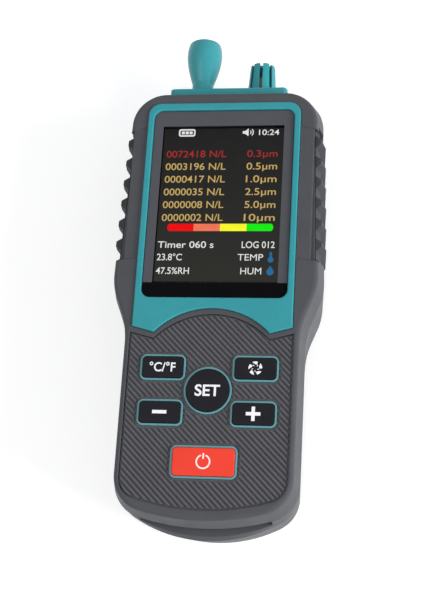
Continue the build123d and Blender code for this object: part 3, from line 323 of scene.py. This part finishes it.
# Finishes: one for each slot of the record, and two nodes that have their own
HOUSING = screen_colour(72, 73, 77)
TEAL = screen_colour(49, 139, 147)
RUBBER = screen_colour(62, 63, 66)
PANEL = screen_colour(86, 86, 90)
KEY_BLACK = screen_colour(28, 28, 33)
KEY_RED = screen_colour(226, 64, 48)
COLLAR = screen_colour(92, 146, 152)
SCREEN_BLACK = screen_colour(20, 20, 23)
# Finishes may paint a highlight along their rounded edges, by the share given
# Finishes may paint shade into their hollows, by the share given
finishes = {
    "housing_grey": moulded("housing_grey", HOUSING, 0.5, edge=0.6, edge_highlight=0.3, gloss=0.15, hollow_shade=0.35),
    "rubber_dark": moulded(
        "rubber_dark", RUBBER, 0.7, grain=0.5, depth=0.05, edge=0.3, edge_highlight=0.15, gloss=0.15, hollow_shade=0.5
    ),
    "teal_plastic": moulded(
        "teal_plastic", TEAL, 0.36, mottle=0.04, depth=0.012, edge=0.25, edge_highlight=0.1, gloss=0.2, hollow_shade=0.4
    ),
    "panel_grey": moulded("panel_grey", PANEL, 0.55, edge=0.12, edge_highlight=0.2, gloss=0.12),
    "key_black": moulded(
        "key_black", KEY_BLACK, 0.5, mottle=0.12, edge=0.4, edge_highlight=0.08, gloss=0.08, hollow_shade=0.5
    ),
    "key_red": moulded(
        "key_red", KEY_RED, 0.45, mottle=0.04, edge=0.4, edge_highlight=0.08, gloss=0.12, hollow_shade=0.4
    ),
    "window_clear": clear_plastic("window_clear"),
    "display_glass": moulded("display_glass", SCREEN_BLACK, 0.2, depth=0.002, gloss=0.1),
    "white_plastic": moulded("white_plastic", screen_colour(225, 225, 220), 0.45),
    "board_green": moulded("board_green", screen_colour(28, 92, 58), 0.4, mottle=0.15, patch=3.0),
    "black_plastic": moulded("black_plastic", screen_colour(30, 30, 33), 0.5),
    "foam": moulded("foam", screen_colour(60, 60, 62), 0.95, grain=0.6, depth=0.3),
    "steel": metal("steel", screen_colour(196, 198, 200), 0.32),
    "brass": metal("brass", screen_colour(205, 165, 90), 0.3),
    "black_metal": metal("black_metal", screen_colour(48, 48, 52), 0.45),
    "silicone": moulded("silicone", screen_colour(214, 210, 200), 0.35, grain=1.0),
    "cell_sleeve": moulded("cell_sleeve", screen_colour(52, 92, 150), 0.3, patch=12.0, depth=0.01),
}
own_finishes = {
    "key_guide_frame": moulded("collar_teal", COLLAR, 0.45, mottle=0.05, edge=0.1),
    "sampling_horn": moulded(
        "horn_teal", TEAL, 0.3, mottle=0.03, depth=0.006, gloss=0.35, hollow_shade=0.4
    ),
}
for part in frame["record"]["subparts"]:
    node = part["node"]
    mesh = nodes[node].data
    mesh.materials.clear()
    mesh.materials.append(own_finishes.get(node, finishes[part["material_slot"]]))


# Flat shapes and words, laid on the display and on the keys. CAPITAL is the height of a capital letter
# as a share of the type's size
CAPITAL = 0.729


def place_on(piece, body):
    """Fixes a piece to a body."""
    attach(piece, body)


def flat_shape(name, loops, x, y, z, material):
    """Flat piece from closed loops of points in mm round (x, y). Inner loops cut holes."""
    curve = bpy.data.curves.new(name, "CURVE")
    curve.dimensions = "2D"
    curve.fill_mode = "BOTH"
    curve.extrude = PRINT_DEPTH / 2 * MM
    for loop in loops:
        spline = curve.splines.new("POLY")
        spline.points.add(len(loop) - 1)
        for point, (u, v) in zip(spline.points, loop):
            point.co = (u * MM, v * MM, 0, 1)
        spline.use_cyclic_u = True
    piece = bpy.data.objects.new(name, curve)
    scene.collection.objects.link(piece)
    piece.location = (x * MM, y * MM, z + PRINT_DEPTH / 2 * MM)
    curve.materials.append(material)
    return piece


def words(name, text, left, right, base, height, z, material, weight):
    """Words on a base line, between a left and a right edge, with capitals of one height, in mm."""
    curve = bpy.data.curves.new(name, "FONT")
    curve.body = text
    curve.offset = weight
    curve.extrude = PRINT_DEPTH / 2 / height * CAPITAL
    piece = bpy.data.objects.new(name, curve)
    scene.collection.objects.link(piece)
    bpy.context.view_layer.update()
    ends = [corner[0] for corner in piece.bound_box]
    across = (right - left) * MM / (max(ends) - min(ends))
    piece.scale = (across, height * MM / CAPITAL, height * MM / CAPITAL)
    piece.location = (left * MM - min(ends) * across, base * MM, z + PRINT_DEPTH / 2 * MM)
    curve.materials.append(material)
    return piece


def arc(radius, start, end, count, x=0.0, y=0.0):
    """Points along an arc round (x, y), angles in degrees, in a number of steps."""
    angles = [math.radians(start + (end - start) * step / count) for step in range(count + 1)]
    return [(x + radius * math.cos(angle), y + radius * math.sin(angle)) for angle in angles]


def box_loop(width, height, x=0.0, y=0.0):
    """Corners of a rectangle round (x, y)."""
    sides = ((-1, -1), (1, -1), (1, 1), (-1, 1))
    return [(x + u * width / 2, y + v * height / 2) for u, v in sides]


def round_box(width, height, radius):
    """Outline of a rectangle with rounded corners."""
    across = width / 2 - radius
    along = height / 2 - radius
    points = []
    for quarter, (u, v) in enumerate(((1, 1), (-1, 1), (-1, -1), (1, -1))):
        start = 90 * quarter
        points += arc(radius, start, start + 90, 6, u * across, v * along)
    return points


def band(outer, inner, start, end, x=0.0, y=0.0):
    """Outline of a piece of a ring."""
    return arc(outer, start, end, 30, x, y) + arc(inner, end, start, 30, x, y)


# Display: a dark lit ground, and what is printed in the window: a black mask at its lower end and a
# grey border round the other three sides
glass_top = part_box("lcd_glass")[1].z
PRINT_SINK = 0.08
print_z = WINDOW_HIGH.z - PRINT_SINK * MM
PRINT_RADIUS = 2.5
PRINT_MARGIN = 0.15
MASK_DROP = 30.0
PRINT_GAP = 0.1
ink = moulded("ink_black", screen_colour(11, 11, 13), 0.3, mottle=0.1, depth=0.004, gloss=0.02)
ground = lit("screen_ground", screen_colour(34, 34, 34), screen_colour(48, 48, 45))
mask_top = DISPLAY_MIDDLE_Y - MASK_DROP
mask_low = WINDOW_LOW.y / MM + PRINT_MARGIN
mask_width = (WINDOW_HIGH.x - WINDOW_LOW.x) / MM - 2 * PRINT_MARGIN
screen = flat_shape(
    "screen_ground", [box_loop(ACTIVE_WIDTH, ACTIVE_LENGTH)], 0, DISPLAY_MIDDLE_Y, glass_top, ground
)
place_on(screen, "instrument")
mask_side = mask_width / 2
mask_length = mask_top - mask_low
mask_loop = [
    (mask_side, mask_length),
    (-mask_side, mask_length),
    *arc(PRINT_RADIUS, 180, 270, 6, PRINT_RADIUS - mask_side, PRINT_RADIUS),
    *arc(PRINT_RADIUS, 270, 360, 6, mask_side - PRINT_RADIUS, PRINT_RADIUS),
]
mask = flat_shape("window_mask", [mask_loop], 0, mask_low, print_z, ink)
place_on(mask, "instrument")
border_length = WINDOW_HIGH.y / MM - PRINT_MARGIN - mask_top
shelf = DISPLAY_MIDDLE_Y + ACTIVE_LENGTH / 2 - mask_top
corner_y = border_length - PRINT_RADIUS
border_loop = [
    (-mask_side, PRINT_GAP),
    *arc(PRINT_RADIUS, 180, 90, 6, PRINT_RADIUS - mask_side, corner_y),
    *arc(PRINT_RADIUS, 90, 0, 6, mask_side - PRINT_RADIUS, corner_y),
    (mask_side, PRINT_GAP),
    (ACTIVE_WIDTH / 2, PRINT_GAP),
    (ACTIVE_WIDTH / 2, shelf),
    (-ACTIVE_WIDTH / 2, shelf),
    (-ACTIVE_WIDTH / 2, PRINT_GAP),
]
border_ink = moulded(
    "ink_grey", screen_colour(79, 79, 85), 0.4, mottle=0.03, depth=0.004, gloss=0.05
)
border = flat_shape("window_border", [border_loop], 0, mask_top, print_z, border_ink)
place_on(border, "instrument")

WHITE = lit("display_white", screen_colour(225, 228, 226))
RED = lit("display_red", screen_colour(160, 44, 48))
GOLD = lit("display_gold", screen_colour(196, 166, 100))
BLUE = lit("display_blue", screen_colour(42, 104, 150))
text_z = glass_top + 2 * PRINT_DEPTH * MM


def display_words(name, text, left, right, base, height, material, weight):
    """Words on the display, placed from its middle."""
    base_y = DISPLAY_MIDDLE_Y + base
    piece = words(name, text, left, right, base_y, height, text_z, material, weight)
    place_on(piece, "instrument")


def display_shape(name, loops, x, y, material):
    """Flat shape on the display, placed from its middle."""
    piece = flat_shape(name, loops, x, DISPLAY_MIDDLE_Y + y, text_z, material)
    place_on(piece, "instrument")


# Counts, one row for each particle size
BOLD = 0.006
ROW_PITCH = 4.84
FIRST_ROW = 17.7
ROW_HEIGHT = 2.7
COUNT_EDGES = (-20.3, 1.2)
CHANNEL_EDGES = (8.6, 19.4)
counts = ("0072418", "0003196", "0000417", "0000035", "0000008", "0000002")
channels = ("0.3", "0.5", "1.0", "2.5", "5.0", "10")
for row, (count, channel) in enumerate(zip(counts, channels)):
    base = FIRST_ROW - row * ROW_PITCH
    colour = GOLD if row else RED
    display_words(f"count_{row}", count + " N/L", *COUNT_EDGES, base, ROW_HEIGHT, colour, BOLD)
    display_words(f"channel_{row}", channel + "µm", *CHANNEL_EDGES, base, ROW_HEIGHT, colour, BOLD)

# White words: name, text, left edge, right edge, base line, height and weight
white_words = (
    ("clock", "10:24", 12.4, 19.6, 26.1, 2.2, BOLD),
    ("timer", "Timer 060 s", -21.0, -1.4, -16.5, 2.5, BOLD),
    ("log", "LOG 012", 8.4, 19.8, -16.5, 2.5, BOLD),
    ("temperature", "23.8°C", -21.0, -12.2, -21.1, 2.5, BOLD),
    ("temperature_name", "TEMP", 7.2, 16.0, -21.1, 2.5, 0.0),
    ("humidity", "47.5%RH", -21.0, -9.4, -26.1, 2.5, BOLD),
    ("humidity_name", "HUM", 8.4, 15.6, -26.1, 2.5, 0.0),
)
for name, text, left, right, base, height, weight in white_words:
    display_words(name, text, left, right, base, height, WHITE, weight)

# Battery and loudspeaker
display_shape(
    "battery_icon",
    [
        round_box(6.0, 2.9, 0.8),
        round_box(4.9, 1.8, 0.4),
        box_loop(1.1, 1.1, -1.4),
        box_loop(1.1, 1.1, 0.0),
        box_loop(1.1, 1.1, 1.4),
    ],
    -13.4,
    27.25,
    WHITE,
)
speaker = [(-1.6, -0.5), (-0.8, -0.5), (0.5, -1.5), (0.5, 1.5), (-0.8, 0.5), (-1.6, 0.5)]
waves = [band(radius + 0.35, radius, -45, 45, 0.5) for radius in (0.7, 1.5)]
display_shape("speaker_icon", [speaker, *waves], 8.2, 27.2, WHITE)

# Level bar, from red on the left to green on the right
BAR_LEFT = -18.1
BAR_RIGHT = 19.0
BAR_Y = -8.95
BAR_HEIGHT = 2.7
BAR_END = 0.9
levels = (
    ("red", screen_colour(236, 14, 16)),
    ("salmon", screen_colour(240, 118, 88)),
    ("yellow", screen_colour(250, 250, 46)),
    ("green", screen_colour(24, 236, 22)),
)
step = (BAR_RIGHT - BAR_LEFT) / len(levels)


def bar_end(side):
    """Outline of the first or last part of the bar, with its outer side rounded."""
    high = BAR_HEIGHT / 2
    inner_x = -side * step / 2
    ends = arc(BAR_END, -90 * side, -90 * side + 180, 8, side * (step / 2 - BAR_END))
    rounded = [(x, y / BAR_END * high) for x, y in ends]
    return [(inner_x, side * high), (inner_x, -side * high), *rounded]


bar_loops = [bar_end(-1), box_loop(step, BAR_HEIGHT), box_loop(step, BAR_HEIGHT), bar_end(1)]
for place, ((name, colour), loop) in enumerate(zip(levels, bar_loops)):
    x = BAR_LEFT + (place + 0.5) * step
    display_shape(f"level_{name}", [loop], x, BAR_Y, lit(f"level_{name}", colour))

# Thermometer and drop
stem = [(0.45, -0.3), (0.45, 1.3), *arc(0.45, 0, 180, 8, 0, 1.3), (-0.45, -0.3)]
display_shape("thermometer_icon", [stem + arc(1.0, 125, 415, 20, 0, -1.1)], 18.6, -19.7, BLUE)
display_shape("drop_icon", [[(0, 1.8), *arc(1.25, 150, 390, 24, 0, -0.5)]], 18.6, -24.7, BLUE)

# Legends on the keys
legend = moulded("legend_white", screen_colour(232, 232, 235), 0.5, mottle=0.03)
legend_red = moulded("legend_on_red", screen_colour(255, 226, 222), 0.5, mottle=0.03)


def key_middle(key):
    """Middle of a key in mm, and the height of its face in metres."""
    low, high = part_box(key)
    return (low.x + high.x) / 2 / MM, (low.y + high.y) / 2 / MM, high.z


def key_words(key, text, width, height, weight):
    """Words in the middle of a key."""
    x, y, z = key_middle(key)
    left = x - width / 2
    right = x + width / 2
    base = y - height / 2
    piece = words(f"{key}_legend", text, left, right, base, height, z, legend, weight)
    place_on(piece, key)


def key_shape(key, loops, material=legend):
    """Flat shape in the middle of a key."""
    x, y, z = key_middle(key)
    place_on(flat_shape(f"{key}_legend", loops, x, y, z, material), key)


key_words("key_units", "°C/°F", 8.8, 3.2, 0.015)
key_words("key_set", "SET", 8.4, 3.9, 0.02)
key_shape("key_minus", [box_loop(4.8, 1.15)])
ARM = 2.4
HALF = 0.57
plus = [(HALF, HALF), (HALF, ARM), (-HALF, ARM), (-HALF, HALF), (-ARM, HALF), (-ARM, -HALF)]
key_shape("key_plus", [plus + [(-u, -v) for u, v in plus]])
POWER_RADIUS = 2.2
STROKE = 0.5
key_shape(
    "key_power",
    [
        band(POWER_RADIUS + STROKE / 2, POWER_RADIUS - STROKE / 2, 110, 430),
        box_loop(STROKE, 1.9, 0, POWER_RADIUS - 0.35),
    ],
    legend_red,
)
BLADES = 5
BLADE_TIP = 2.3
BLADE_MIDDLE = 1.3
BLADE_ROOT = 0.6
blades = []
for count in range(BLADES):
    angle = 360 / BLADES * count
    tip = arc(BLADE_TIP, angle, angle + 46, 6)
    back = arc(BLADE_MIDDLE, angle + 20, angle - 26, 6)
    root = arc(BLADE_ROOT, angle - 30, angle - 31, 1)
    blades.append(tip + back + root)
key_shape("key_fan", blades)

# Floor, with an opening hidden under the object through which its back gets light
SPAN = 6000.0
FLOOR_Z = -0.05 * MM
right_side = [(22, 59), (27.5, 57), (29, 52), (30.5, -10)]
right_side += [(25.5, -26), (25.5, -76), (18, -84), (9, -87)]
opening = right_side + [(-x, y) for x, y in reversed(right_side)]
FLOOR_COLOUR = (0.75, 0.75, 0.75, 1.0)
floor_white = moulded(
    "floor_white", FLOOR_COLOUR, 0.6, mottle=0.01, patch=200.0, grain=3.0, depth=0.01, gloss=0.1
)
floor_tree = floor_white.node_tree
floor_shader = floor_tree.nodes["Principled BSDF"]
floor_shader.inputs["Emission Color"].default_value = (1.0, 1.0, 1.0, 1.0)
glow = ranged(floor_tree, seen_directly(floor_tree), 0, FLOOR_GLOW, 0, 1)
floor_tree.links.new(glow, floor_shader.inputs["Emission Strength"])
floor = flat_shape("floor", [box_loop(SPAN, SPAN), opening], 0, 0, FLOOR_Z, floor_white)
